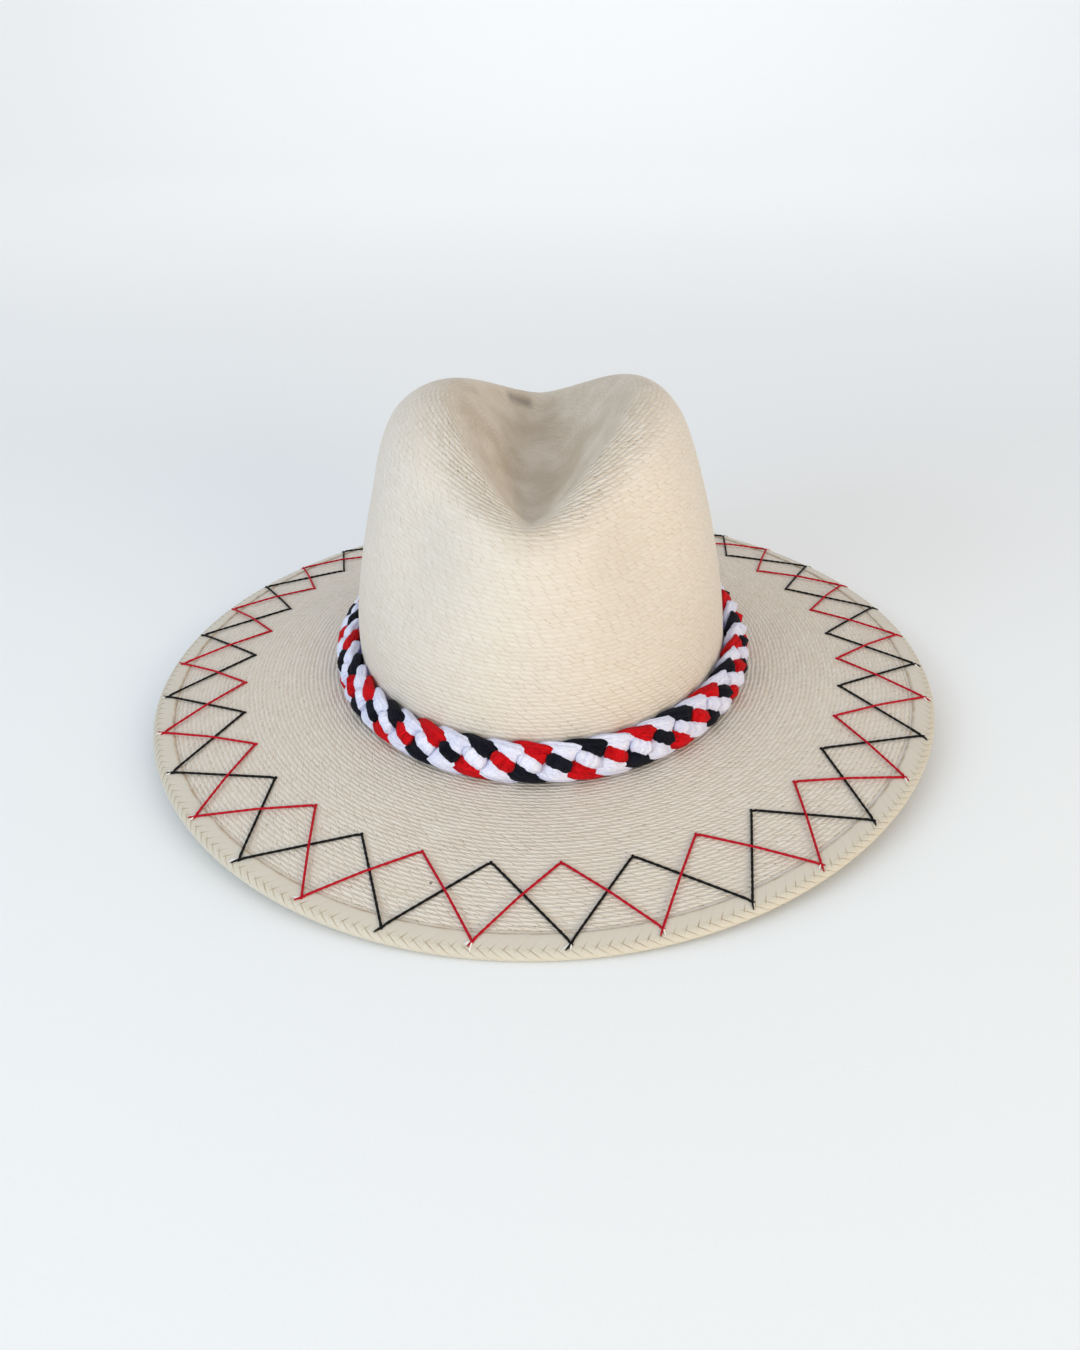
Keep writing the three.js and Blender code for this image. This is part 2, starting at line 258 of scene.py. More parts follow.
# How deep the fine relief of each material is, in metres, and the colour of the faint blue glow painted on
# white cotton as emission.
STRAW_BUMP = 0.00015
PLAIT_BUMP = 0.00008
COTTON_BUMP = 0.0022
THREAD_BUMP = 0.00025
PAINTED_GLOW_COLOUR = (0.2, 0.25, 1.0)

# The camera: where it looks, from how far, and its angles.
LOOK_AT = (-2.03, 0.51, -0.91)
CAMERA_DISTANCE = 545.1
CAMERA_HEIGHT_ANGLE = math.radians(29.9)
CAMERA_SIDE_ANGLE = math.radians(3.71)
CAMERA_ROLL = math.radians(-1.63)
CAMERA_LENS = 30.07
# The floor is level up to SWEEP_START and then curves up into a wall. In metres.
FLOOR_HALF_WIDTH = 40.0
FLOOR_FRONT = -40.0
SWEEP_START = 2.4
SWEEP_RADIUS = 1.4
WALL_TOP = 4.0
SWEEP_STEPS = 16
FLOOR_COLOURS = ((0.875, 0.89, 0.90), (0.905, 0.92, 0.93))
# The soft lights: place in metres, width and height, power in watts, colour, and the point that each faces.
LIGHTS = (
    ("warm_key", (1.02, -1.32, 0.5), (1.0, 0.5), 11.0, (1.0, 0.82, 0.55), (0, 0, 0.06)),
    ("cool_key", (-1.12, -1.2, 0.7), (1.0, 0.5), 11.0, (0.66, 0.85, 1.0), (0, 0, 0.06)),
    ("sweep_light", (0, 1.05, 2.6), (2.0, 1.5), 34, (1.0, 0.99, 0.96), (0, 2.98, 2.08)),
)
WORLD_COLOUR = (0.95, 0.965, 0.99)
WORLD_STRENGTH = 0.73


def signed_power(value, power):
    return np.sign(value) * np.abs(value) ** power


def unit(vectors):
    return vectors / np.maximum(np.linalg.norm(vectors, axis=-1, keepdims=True), 1e-12)


def walked(points):
    """The length walked up to each point. The points follow each other along the first axis."""
    steps = np.linalg.norm(np.diff(points, axis=0), axis=-1)
    return np.concatenate([0 * steps[:1], np.cumsum(steps, axis=0)])


def curve_between(p0, p1, p2, p3, t):
    """The point at share t of the smooth curve from p1 to p2. p0 comes before them, and p3 after."""
    out, back = (p2 - p0) / 2, (p3 - p1) / 2
    cubic, square = 2 * p1 - 2 * p2 + out + back, -3 * p1 + 3 * p2 - 2 * out - back
    return ((cubic * t + square) * t + out) * t + p1


def way_round(points):
    """The direction at each point of a closed line, whose last point is its first."""
    way = unit(np.roll(points[:-1], -1, 0) - np.roll(points[:-1], 1, 0))
    return np.concatenate([way, way[:1]])


def smooth_noise(x, seed, waves=5, first=3):
    """A smooth periodic wobble of about -1 to 1. x is in turns."""
    rng = random.Random(seed)
    total = np.zeros_like(np.asarray(x, float))
    for wave in range(first, first + waves):
        total += np.sin(TURN * (wave * x + rng.random())) * rng.uniform(0.5, 1)
    return total / math.sqrt(waves)


def read_all(items, name, size=1, kind=int):
    """One property of all items of a mesh, with size numbers for each."""
    values = np.empty(len(items) * size, kind)
    items.foreach_get(name, values)
    return values.reshape(-1, size).squeeze()


def add_field(mesh, name, domain, values):
    mesh.attributes.new(name, "FLOAT", domain).data.foreach_set("value", values.astype(np.float32))


def grid_piece(name, points, u, v, material, nodes, fields=None):
    """A grid primitive whose corners are placed at points (rows, columns, 3), in mm. Edges that meet are
    merged, so that the piece closes. u and v have the same rows and columns, and stay split along the seam.
    fields are more values by row and column, which the material reads by name."""
    uv = np.stack(np.broadcast_arrays(u, v), -1)
    rows, columns = points.shape[0] - 1, points.shape[1] - 1
    bpy.ops.mesh.primitive_grid_add(x_subdivisions=columns, y_subdivisions=rows, size=1)
    piece = bpy.context.object
    piece.name = piece.data.name = name
    mesh = piece.data
    flat = read_all(mesh.vertices, "co", 3, float) + 0.5
    column = np.rint(flat[:, 0] * columns).astype(int)
    row = np.rint(flat[:, 1] * rows).astype(int)
    mesh.vertices.foreach_set("co", (points[row, column] * MM).ravel())
    corner = read_all(mesh.loops, "vertex_index")
    mesh.uv_layers[0].data.foreach_set("uv", uv[row[corner], column[corner]].ravel())
    for field, values in (fields or {}).items():
        add_field(mesh, field, "POINT", values[row, column])
    mesh.update()
    finish_piece(piece, material, nodes, merge=2e-6)
    return piece


def new_object(name, data):
    made = bpy.data.objects.new(name, data)
    bpy.context.scene.collection.objects.link(made)
    return made


def finish_piece(piece, material, nodes=(), merge=1e-6):
    """Closes the active piece and shades it smooth. merge is in metres. Then its material and its part."""
    bpy.ops.object.mode_set(mode="EDIT")
    bpy.ops.mesh.select_all(action="SELECT")
    bpy.ops.mesh.remove_doubles(threshold=merge)
    bpy.ops.mesh.normals_make_consistent(inside=False)
    bpy.ops.object.mode_set(mode="OBJECT")
    bpy.ops.object.shade_smooth()
    piece.data.materials.clear()
    piece.data.materials.append(material)
    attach(piece, "root")
    if nodes:
        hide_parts(*nodes)


def lean(points):
    """Tips directions, or points over the middle of the crown's foot, as the crown leans."""
    c, s = math.cos(CROWN_LEAN_FORWARD), math.sin(CROWN_LEAN_FORWARD)
    x, y, z = points[..., 0], points[..., 1], points[..., 2]
    y, z = y * c - z * s, y * s + z * c
    c, s = math.cos(CROWN_LEAN_SIDE), math.sin(CROWN_LEAN_SIDE)
    return np.stack([x * c + z * s, y, z * c - x * s], -1)


def from_front(psi):
    """The angle from the front, on either side."""
    return np.abs(np.arctan2(np.sin(psi), np.cos(psi)))


def pinch_share(half_width, psi, z):
    """How far the finger pinches push a point of the crown in, as a share of its distance from the middle."""
    away = (from_front(psi) - PINCH_PSI) / PINCH_SPREAD
    above = (z - PINCH_Z) / PINCH_REACH
    return PINCH_DEPTH * half_width / CROWN_HALF_WIDTH ** 2 * np.exp(-away ** 2 - above ** 2)


def crown_section(section, psi):
    half_width, front, back, front_z, side_z, back_z, front_point, back_point, shift = section
    s, c = np.sin(psi), np.cos(psi)
    ahead, behind = np.clip(c, 0, None), np.clip(-c, 0, None)
    z = side_z + (front_z - side_z) * ahead ** FRONT_ROUNDNESS + (back_z - side_z) * behind ** BACK_ROUNDNESS
    kept = 1 - pinch_share(half_width, psi, z)
    grown = min(side_z / FULL_Z, 1, half_width / DENT_FLAT)
    x = half_width * signed_power(s, np.where(c > 0, front_point, back_point))
    x = x * kept + shift - BACK_DRIFT * grown * behind
    y = (back * behind - front * ahead) * kept
    return lean(np.stack([x, y, z + RIDGE_TILT * grown * s], -1)) + ROOT_Z * UP


def oval(psi, half_width, half_length, z=0.0, power=1.0):
    x, y = signed_power(np.sin(psi), power), signed_power(np.cos(psi), power)
    return np.stack([half_width * x, -half_length * y, 0 * psi + z], -1)


def crown_foot(psi):
    return lean(oval(psi, CROWN_HALF_WIDTH, CROWN_HALF_LENGTH)) + ROOT_Z * UP


def brim_edge(psi):
    return oval(psi, BRIM_HALF_WIDTH, BRIM_HALF_LENGTH, power=2 / BRIM_SQUARENESS)


def edge_lift(psi):
    """How high the edge's underside is. It is on the floor at the front and at both sides of the back."""
    front, side, back = FEET
    c = np.cos(psi)
    return SIDE_LIFT * (front - c) * (c - side) * (c - back) / LIFT_PEAK


def brim_width(psi):
    return np.linalg.norm((brim_edge(psi) - crown_foot(psi))[..., :2], axis=-1)


def brim_way(psi):
    """The level direction from the crown's foot to the brim's edge."""
    return unit((brim_edge(psi) - crown_foot(psi)) * (1, 1, 0))


def brim_point(psi, inset):
    """A point on the brim's top, at inset from its outer edge."""
    share = 1 - inset / brim_width(psi)
    foot = crown_foot(psi)
    point = foot + (brim_edge(psi) - foot) * share[..., None]
    drop = edge_lift(psi) + EDGE_TOP - foot[..., 2]
    point[..., 2] = foot[..., 2] + drop * np.clip(share, 0, None) ** BRIM_DROOP
    return point


def crown_meridians(psi):
    """Meridians from the middle of the dent to the bend at the brim, as (steps, columns, 3)."""
    knots = np.array([crown_section(section, psi) for section in CROWN_SECTIONS])
    knots = np.concatenate([[2 * knots[0] - knots[1]], knots, [2 * knots[-1] - knots[-2]]])
    steps = []
    for place in np.linspace(len(CROWN_SECTIONS) - 1, BEND_START, CURVE_STEPS):
        index = min(int(place), len(CROWN_SECTIONS) - 2)
        steps.append(curve_between(*knots[index:index + 4], place - index))
    foot, away = crown_foot(psi), brim_way(psi)
    start = ((steps[-1] - foot) * away).sum(-1)
    for turn in np.linspace(0, math.pi / 2, BEND_STEPS + 1)[1:]:
        reach = ROOT_BEND * (1 - math.cos(turn)) + start * math.cos(turn)
        steps.append(foot + away * reach[..., None] + UP * ROOT_BEND * (1 - math.sin(turn)))
    return np.array(steps)


def resample(curves, shares):
    """Each column of curves (steps, columns, 3) at these shares of its own length."""
    return np.stack([
        np.stack([np.interp(shares * walk[-1], walk, line[:, axis]) for axis in range(3)], -1)
        for walk, line in zip(walked(curves).T, curves.swapaxes(0, 1))], 1)


def outward(points, closed_rows=False):
    """Normals of a grid whose columns run round the hat and whose rows run outwards."""
    round_way = np.empty_like(points)
    round_way[:, 1:-1] = points[:, 2:] - points[:, :-2]
    round_way[:, 0] = round_way[:, -1] = points[:, 1] - points[:, -2]
    if closed_rows:
        down = np.roll(points, -1, 0) - np.roll(points, 1, 0)
    else:
        down = np.gradient(points, axis=0)
    return unit(np.cross(down, round_way))


def row_shares(rows):
    """Ring places, in rows, with the relief at each: three rings to a row."""
    places = [(row + at, depth) for row in range(rows) for at, depth in ROW_STEPS]
    places.append((rows, ROW_STEPS[0][1]))
    return np.array(places)


def row_relief(places, share, height, seed, pace):
    """The relief of each ring, with a wobble round the hat that changes from row to row."""
    return places[:, 1, None] + height * smooth_noise(share, seed)[None] * np.sin(places[:, :1] * pace)


def rings_round(columns):
    """psi of each column, from the back round to the back again, and the same in turns."""
    share = np.linspace(0, 1, columns + 1)
    return TURN * (share + 0.5), share


def add_ticks(piece, rows_at, girth_at):
    """Stores how many slanted ticks of the braid each row has, face by face."""
    mesh = piece.data
    v = read_all(mesh.uv_layers[0].data, "uv", 2, float)[:, 1]
    start, count = (read_all(mesh.polygons, name) for name in ("loop_start", "loop_total"))
    middle = np.add.reduceat(v, start) / count
    row = np.floor(middle - 1e-4) + 0.5
    ticks = np.maximum(np.rint(np.interp(row, rows_at, girth_at) / TICK_LENGTH), 5)
    add_field(mesh, "ticks", "FACE", ticks)


def ring_girths(points):
    return np.linalg.norm(np.diff(points, axis=1), axis=-1).sum(-1)


def turns_round(points, share):
    """How far round its own row each point of the grid is, in turns."""
    walk = walked(points.swapaxes(0, 1)).T
    girth = walk[:, -1:]
    return np.where(girth > 0.1, walk / np.maximum(girth, 0.1), share[None])


def smooth_round(values, reach):
    """values blurred round the hat. The first and the last are the same place."""
    reaches = range(-2 * reach, 2 * reach + 1)
    weights = np.array([math.exp(-(step / reach) ** 2) for step in reaches])
    ring = values[:-1]
    blurred = sum(w * np.roll(ring, step) for w, step in zip(weights / weights.sum(), reaches))
    return np.concatenate([blurred, blurred[:1]])


def crown_openness(normals, places, psi):
    """How far the rows stand open: most just outside the front lip of the dent, and least inside it. Also how
    many rows each place is outside the lip, which is where the meridian bends most."""
    rows = places[:, 0]
    steps = np.clip((normals[1:] * normals[:-1]).sum(-1), -1, 1)
    bend = np.arccos(steps) / np.maximum(np.diff(rows), 0.1)[:, None]
    bend = np.apply_along_axis(np.convolve, 0, bend, np.ones(LIP_BLUR) / LIP_BLUR, "same")
    inside = (rows[1:] > LIP_SEARCH[0]) & (rows[1:] < LIP_SEARCH[1])
    weight = np.where(inside[:, None], bend, 0) ** LIP_SHARPNESS
    lip = smooth_round((weight * rows[1:, None]).sum(0) / weight.sum(0), LIP_ROUND_BLUR)
    past = rows[:, None] - lip[None]
    front = np.degrees(from_front(psi))
    kept = np.interp(front, *np.array(LIP_STRENGTHS).T)
    wide = np.interp(front, *np.array(LIP_SHARES).T)
    strip = np.interp(past / wide[None], *np.array(LIP_ROWS).T) * kept[None]
    plain = np.interp(past, LIP_OPENS, (DENT_OPEN, CROWN_OPEN))
    low = np.interp(rows, FOOT_ROWS, (0, FOOT_OPEN))[:, None]
    return np.clip(np.maximum(plain + low, strip), 0, 1), past


def make_crown(material):
    psi, share = rings_round(CROWN_COLUMNS)
    curves = crown_meridians(psi)
    places = row_shares(CROWN_ROWS)
    outer = resample(curves, places[:, 0] / CROWN_ROWS)
    normals = outward(outer)
    normals[0] = UP
    opened, past_lip = crown_openness(normals, places, psi)
    relief = row_relief(places, share, *CROWN_WOBBLE) * (CLOSED_RELIEF + (1 - CLOSED_RELIEF) * opened)
    relief[:len(ROW_STEPS) * SMOOTH_ROWS] = 0
    relief[-1] = 0
    shown = outer + normals * relief[..., None]
    inner_rows = np.arange(CROWN_ROWS, -1, -1.0)
    inner_smooth = resample(curves, inner_rows / CROWN_ROWS)
    inner_normals = outward(inner_smooth[::-1])[::-1]
    inner_normals[-1] = UP
    inner_normals[0] = UP
    inner = inner_smooth - inner_normals * WALL
    points = np.concatenate([shown, inner])
    rows = np.concatenate([places[:, 0], inner_rows])[:, None]
    around = turns_round(np.concatenate([outer, inner_smooth]), share)
    opened = np.concatenate([opened, np.full(inner.shape[:2], INSIDE_OPEN)])
    # How much painted shade the dent gets: full inside the lip, fading out a few rows past it.
    shaded = np.interp(past_lip, DENT_EDGE, (1, 0))
    shaded = np.concatenate([shaded, np.zeros(inner.shape[:2])])
    fields = {"opened": opened, "dent_shade": shaded}
    piece = grid_piece("crown", points, around, rows, material, ["crown_and_brim"], fields)
    add_ticks(piece, places[:, 0], ring_girths(outer))


def make_brim(material):
    psi, share = rings_round(BRIM_COLUMNS)
    places = row_shares(BRIM_ROWS)
    width = brim_width(psi)

    def at_row(row):
        inset = (width - ROOT_BEND) + (EDGE_SEAM_INSET - width + ROOT_BEND) * row / BRIM_ROWS
        return brim_point(psi, inset)

    outer = np.array([at_row(row) for row in places[:, 0]])
    normals = outward(outer)
    relief = row_relief(places, share, *BRIM_WOBBLE) * BRIM_RELIEF
    relief[0] = 0
    shown = outer + normals * relief[..., None]
    under_rows = np.arange(BRIM_ROWS, -1, -1.0)
    under = np.array([at_row(row) for row in under_rows])
    under_normals = outward(under[::-1])[::-1]
    under_normals[-1] = UP
    under = under - under_normals * WALL
    points = np.concatenate([shown, under, shown[:1]])
    rows = np.concatenate([places[:, 0], under_rows, [0]])[:, None] + CROWN_ROWS
    around = turns_round(np.concatenate([outer, under, outer[:1]]), share)
    opened = np.full(points.shape[:2], BRIM_OPEN)
    fields = {"opened": opened, "dent_shade": 0 * opened}
    piece = grid_piece("brim", points, around, rows, material, ["crown_and_brim"], fields)
    add_ticks(piece, places[:, 0] + CROWN_ROWS, ring_girths(outer))


def closed_curve(knots, count):
    """count points on a smooth closed curve through knots."""
    knots = np.array(knots, float)
    places = np.arange(count) / count * len(knots)
    index = places.astype(int)
    t = (places - index)[:, None]
    return curve_between(*(knots[(index + shift) % len(knots)] for shift in (-1, 0, 1, 2)), t)


def edge_arc_table():
    """psi against the length along the brim's edge, from the back round to the back."""
    psi = np.linspace(-math.pi, math.pi, TABLE_STEPS + 1)
    return psi, walked(brim_edge(psi))


def make_edge_plait(material):
    """Its rows step round the section, and its columns round the hat. The strips lean away from the fold."""
    table_psi, table_length = edge_arc_table()
    repeats = round(table_length[-1] / PLAIT_REPEAT)
    repeat = table_length[-1] / repeats
    section = closed_curve(PLAIT_SECTION, PLAIT_POINTS)
    section = np.concatenate([section, section[:1]])
    walk = walked(section)
    fold = walk[np.argmax(section[:, 0] < PLAIT_FOLD_INSET)]
    under = walk[np.argmin(section[:, 1])]
    leans = np.where(walk < fold, PLAIT_INNER_LEAN * (fold - walk), PLAIT_OUTER_LEAN * (walk - fold))
    at_under = PLAIT_OUTER_LEAN * (under - fold)
    back = at_under + (leans[0] - at_under) * (walk - under) / (walk[-1] - under)
    leans = np.where(walk > under, back, leans)
    places = np.array([(count + at, depth) for count in range(repeats) for at, depth in PLAIT_STEPS])
    places = np.concatenate([places, [[repeats, PLAIT_STEPS[0][1]]]])
    length = (places[None, :, 0] * repeat + leans[:, None]) % table_length[-1]
    psi = np.interp(length, table_length, table_psi)
    smooth = brim_point(psi, section[:, :1])
    smooth[..., 2] += section[:, 1:]
    hidden = (section[:, 0] > PLAIT_HIDDEN_INSET)[:, None]
    normals = outward(smooth, closed_rows=True)
    normals[0] = normals[-1] = unit(normals[1] + normals[-2])
    flatter = np.where(walk < fold, PLAIT_INNER_RELIEF, 1)[:, None]
    relief = np.where(hidden, 0, places[None, :, 1] * flatter)
    points = smooth + normals * relief[..., None]
    points[..., 2] = np.maximum(points[..., 2], 0)
    across = (walk - fold)[:, None]
    grid_piece("edge_plait", points, places[:, 0], across, material, ["edge_braid"])


def band_frame(share):
    """The band's middle line at these shares of its girth, and the directions up across it and out of it."""
    half_width, half_length = CROWN_HALF_WIDTH + BAND_STAND_OFF, CROWN_HALF_LENGTH + BAND_STAND_OFF
    table_psi = np.linspace(0, TURN, 2 * TABLE_STEPS + 1)
    length = walked(oval(table_psi, half_width, half_length))
    psi = np.interp((share % 1) * length[-1], length, table_psi)
    middle = oval(psi, half_width, half_length, BAND_Z)
    out = unit(oval(psi, 1 / half_width, 1 / half_length))
    across = UP * math.cos(BAND_LEAN) - out * math.sin(BAND_LEAN)
    face = out * math.cos(BAND_LEAN) + UP * math.sin(BAND_LEAN)
    return lean(middle) + ROOT_Z * UP, lean(across), lean(face)


def ease(place, column):
    """A value of the strand's path at place, eased from each step to the next."""
    steps = np.array(STRAND_PATH)
    index = np.clip(np.searchsorted(steps[:, 0], place, side="right") - 1, 0, len(steps) - 2)
    t = (place - steps[index, 0]) / (steps[index + 1, 0] - steps[index, 0])
    t = (1 - np.cos(math.pi * t)) / 2
    return steps[index, column] * (1 - t) + steps[index + 1, column] * t


def make_strand(name, index, material):
    """One of the four cords. Its line swings to and fro across the band, and over and under the others."""
    count = BAND_REPEATS * STRAND_STEPS
    place = np.arange(count + 1) / STRAND_STEPS
    phase = place % 1
    shift = STRAND_WANDER * smooth_noise(place / BAND_REPEATS, 40 + index, waves=9)
    along = np.floor(place) + np.interp(phase, [0, 0.5, 1], [0, STRAND_DOWN, 1])
    middle, across, face = band_frame((BAND_START + along + index / 4 + shift) / BAND_REPEATS)
    swing = signed_power(np.cos(TURN * phase), STRAND_FLATNESS)
    rise, tip = ease(phase, 1), ease(phase, 2)
    bank = tip * STRAND_BANK
    squeeze = 1 - (1 - STRAND_SQUEEZE) * np.abs(tip)
    fat = 1 + STRAND_UNEVEN * smooth_noise(place / BAND_REPEATS, 50 + index, waves=12, first=9)
    middle = middle + across * (STRAND_SWING * swing)[:, None] + face * (STRAND_RISE * rise)[:, None]
    way = way_round(middle)
    side = unit(np.cross(face, way))
    side = side * np.sign((side * across).sum(-1, keepdims=True))
    over = unit(face - way * (face * way).sum(-1, keepdims=True))
    wide = side * np.cos(bank)[:, None] + over * np.sin(bank)[:, None]
    deep = over * np.cos(bank)[:, None] - side * np.sin(bank)[:, None]
    turn = TURN * np.arange(STRAND_SIDES + 1)[:, None] / STRAND_SIDES
    folds = 1 + sum(
        height * np.cos(times * turn + sway * np.sin(TURN * (place / period + start)) + own * index)
        for times, height, sway, period, start, own in STRAND_FOLDS)
    wider = 1 + sum(gain * np.exp(-((phase - at) / reach) ** 2) for at, gain, reach in STRAND_WIDER)
    flat = signed_power(np.sin(turn), STRAND_ROUNDNESS[0]) * folds * wider * STRAND_WIDTH / 2
    high = signed_power(np.cos(turn), STRAND_ROUNDNESS[1]) * folds * STRAND_THICKNESS / 2
    points = middle + wide * (flat * fat)[..., None] + deep * (high * squeeze * fat)[..., None]
    points[:, -1] = points[:, 0]
    points[-1] = points[0]
    grid_piece(name, points, place, turn / TURN, material, [name])


def corner_psi(k):
    """psi of thread corner k, spread a little wider at the front than at the back."""
    table_psi, table_length = edge_arc_table()
    girth = table_length[-1]
    at = (k + 0.5) / THREAD_CORNERS
    length = girth / 2 + girth * at + THREAD_SPREAD * math.sin(TURN * at) + THREAD_SHIFT
    return float(np.interp(length % girth, table_length, table_psi))


def thread_corners(outer_parity):
    """The corners of one zigzag thread, as psi and inset. outer_parity is 0 or 1: which are at the edge."""
    rng = random.Random(70 + outer_parity)
    corners = []
    for k in range(THREAD_CORNERS):
        inset, wander = THREAD_OUTER_CORNER if k % 2 == outer_parity else THREAD_INNER_CORNER
        psi = corner_psi(k) + rng.uniform(-THREAD_PSI_WANDER, THREAD_PSI_WANDER)
        corners.append((psi, inset + rng.uniform(-wander, wander)))
    return corners


def straw_top(inset):
    """The height of the straw that a thread lies on, over the brim's smooth top."""
    return np.interp(inset, *np.array(PLAIT_TOP).T)


def taut(heights):
    """The lowest line over heights that has no hollow: how a tight thread lies over them."""
    hull = []
    for place, height in enumerate(heights):
        while len(hull) > 1:
            (x0, z0), (x1, z1) = hull[-2:]
            if (z1 - z0) * (place - x0) > (height - z0) * (x1 - x0):
                break
            hull.pop()
        hull.append((place, height))
    return np.interp(np.arange(len(heights)), [x for x, _ in hull], [z for _, z in hull])


def make_thread(name, outer_parity, over, material):
    """One zigzag thread all round the brim. It dips into the straw at each corner."""
    corners = thread_corners(outer_parity)
    path = []
    for index, (psi, inset) in enumerate(corners):
        next_psi, next_inset = corners[(index + 1) % THREAD_CORNERS]
        gap = (next_psi - psi + math.pi) % TURN - math.pi
        ends = brim_point(np.array([psi, psi + gap]), np.array([inset, next_inset]))
        count = int(np.linalg.norm(ends[1] - ends[0]) / THREAD_STEP)
        t = np.arange(count) / count
        plan = ends[0] + (ends[1] - ends[0]) * t[:, None]
        psi_here = psi + gap * t
        inset_here = inset + (next_inset - inset) * t
        # Three corrections find the psi and the inset under each point of the straight run.
        for _ in range(3):
            miss = plan - brim_point(psi_here, inset_here)
            out = brim_way(psi_here)
            inset_here = inset_here - (miss * out).sum(-1)
            side = np.stack([-out[:, 1], out[:, 0], 0 * t], -1)
            radius = np.linalg.norm(brim_point(psi_here, inset_here)[:, :2], axis=-1)
            psi_here = psi_here + (miss * side).sum(-1) / radius
        top = brim_point(psi_here, inset_here)[:, 2] + straw_top(inset_here)
        climb = np.clip(np.minimum(t, 1 - t) * count * THREAD_STEP / THREAD_DIP, 0, 1)
        top = taut(top + over * (np.abs(t - 0.5) < THREAD_CROSSING_SHARE))
        plan[:, 2] = top + THREAD_RADIUS * (THREAD_CLIMB * climb - THREAD_DEPTH)
        path.append(plan)
    path = np.concatenate(path)
    path = np.concatenate([path, path[:1]])
    along = way_round(path)
    side = unit(np.cross(along, UP))
    over_side = np.cross(side, along)
    turn = TURN * np.arange(THREAD_SIDES + 1)[:, None] / THREAD_SIDES
    steps = np.arange(len(path))
    twist = np.round(len(path) * THREAD_STEP / THREAD_TWIST) * TURN * steps / (len(path) - 1)
    ply = 1 + THREAD_PLY * np.cos(2 * turn + twist)
    flat = np.cos(turn) * ply * THREAD_RADIUS
    high = np.sin(turn) * ply * THREAD_RADIUS
    points = path + side * flat[..., None] + over_side * high[..., None]
    grid_piece(name, points, steps * THREAD_STEP, turn / TURN, material, [])


def surface_point(plan, psi, inset):
    """The straw's top under a plan point near (psi, inset)."""
    near = inset - ((plan - brim_point(psi, inset)) * brim_way(psi)).sum()
    return np.array([plan[0], plan[1], brim_point(psi, near)[2] + straw_top(near)])


def tube_set(name, tubes, material):
    """Many short tubes with round ends, each a list of points (mm) and radii, as one closed mesh."""
    bpy.ops.object.select_all(action="DESELECT")
    curve = bpy.data.curves.new(name, "CURVE")
    curve.dimensions = "3D"
    curve.bevel_depth = 1.0
    curve.bevel_resolution = TUBE_ROUNDNESS
    curve.use_fill_caps = True
    for points, radii in tubes:
        spline = curve.splines.new("POLY")
        spline.points.add(len(points) - 1)
        for knot, point, radius in zip(spline.points, points, radii):
            knot.co = (*(np.array(point) * MM), 1)
            knot.radius = radius * MM
    piece = new_object(name, curve)
    piece.select_set(True)
    bpy.context.view_layer.objects.active = piece
    bpy.ops.object.convert(target="MESH")
    piece = bpy.context.object
    piece.name = piece.data.name = name
    finish_piece(piece, material)


def laid_tube(start, way, corner, length, form, rng):
    """A tube on the straw from start, in the plan direction way, near a corner."""
    radii, wander, lift = form
    side = np.array([-way[1], way[0], 0])
    bend = rng.uniform(-wander, wander)
    points = []
    for share in np.linspace(0, 1, len(radii)):
        plan = start + way * length * share + side * bend * share ** 2
        point = surface_point(plan, *corner)
        point[2] += radii[0] * 0.6 + lift * share
        points.append(point)
    return points, radii


def turned(way, angle):
    c, s = math.cos(angle), math.sin(angle)
    return np.array([way[0] * c - way[1] * s, way[0] * s + way[1] * c, 0])


def make_thread_ends(name, outer_parity, material):
    """A knot at every corner of a thread and, at the outer corners, its loose ends. Returns the torn palm
    fibres beside them."""
    rng = random.Random(170 + outer_parity)
    corners = thread_corners(outer_parity)
    spots = [brim_point(psi, inset) * (1, 1, 0) for psi, inset in corners]
    tubes, fibres = [], []
    for index, corner in enumerate(corners):
        here, before, after = spots[index], spots[index - 1], spots[(index + 1) % len(spots)]
        onward, back = unit(here - before), unit(here - after)
        way = unit(onward + back)
        start = here - way * KNOT_LENGTH / 2
        tubes.append(laid_tube(start, way, corner, KNOT_LENGTH, KNOT_FORM, rng))
        if corner[1] > EDGE_SEAM_INSET:
            continue
        tail, short_tail = rng.uniform(*TAIL_LENGTHS), rng.uniform(*SHORT_TAIL_LENGTHS)
        tubes.append(laid_tube(here, back, corner, tail, TAIL_FORM, rng))
        tubes.append(laid_tube(here, onward, corner, short_tail, SHORT_TAIL_FORM, rng))
        for _ in range(rng.choice(FIBRE_COUNTS)):
            way = turned(back, rng.choice((-1, 1)) * rng.uniform(*FIBRE_TURNS))
            length = rng.uniform(*FIBRE_LENGTHS)
            fibres.append(laid_tube(here - back * 0.2, way, corner, length, FIBRE_FORM, rng))
    tube_set(name, tubes, material)
    return fibres


class Value:
    """A value in a shader's node tree. It is reckoned with like a number, and each step adds a node."""

    def __init__(self, socket):
        self.socket = socket
        self.tree = socket.id_data

    def __add__(self, other):
        return calc("ADD", self, other)

    def __sub__(self, other):
        return calc("SUBTRACT", self, other)

    def __rsub__(self, other):
        return calc("SUBTRACT", other, self)

    def __mul__(self, other):
        return calc("MULTIPLY", self, other)

    def remap(self, low, high, to_low=0.0, to_high=1.0):
        """Held between low and high, and stretched to run from to_low to to_high."""
        inputs = {"Value": self, "From Min": low, "From Max": high, "To Min": to_low, "To Max": to_high}
        return add_node(self.tree, "ShaderNodeMapRange", inputs, clamp=True)

    def fade(self, low, high):
        """1 up to low, and 0 from high on."""
        return self.remap(low, high, 1.0, 0.0)

    def cell(self):
        """The whole number below, how far over it, and how far from the nearer whole number."""
        within = calc("FRACT", self)
        return calc("FLOOR", self), within, calc("MINIMUM", within, 1.0 - within)

    def nearest(self):
        return calc("FLOOR", self + 0.5)


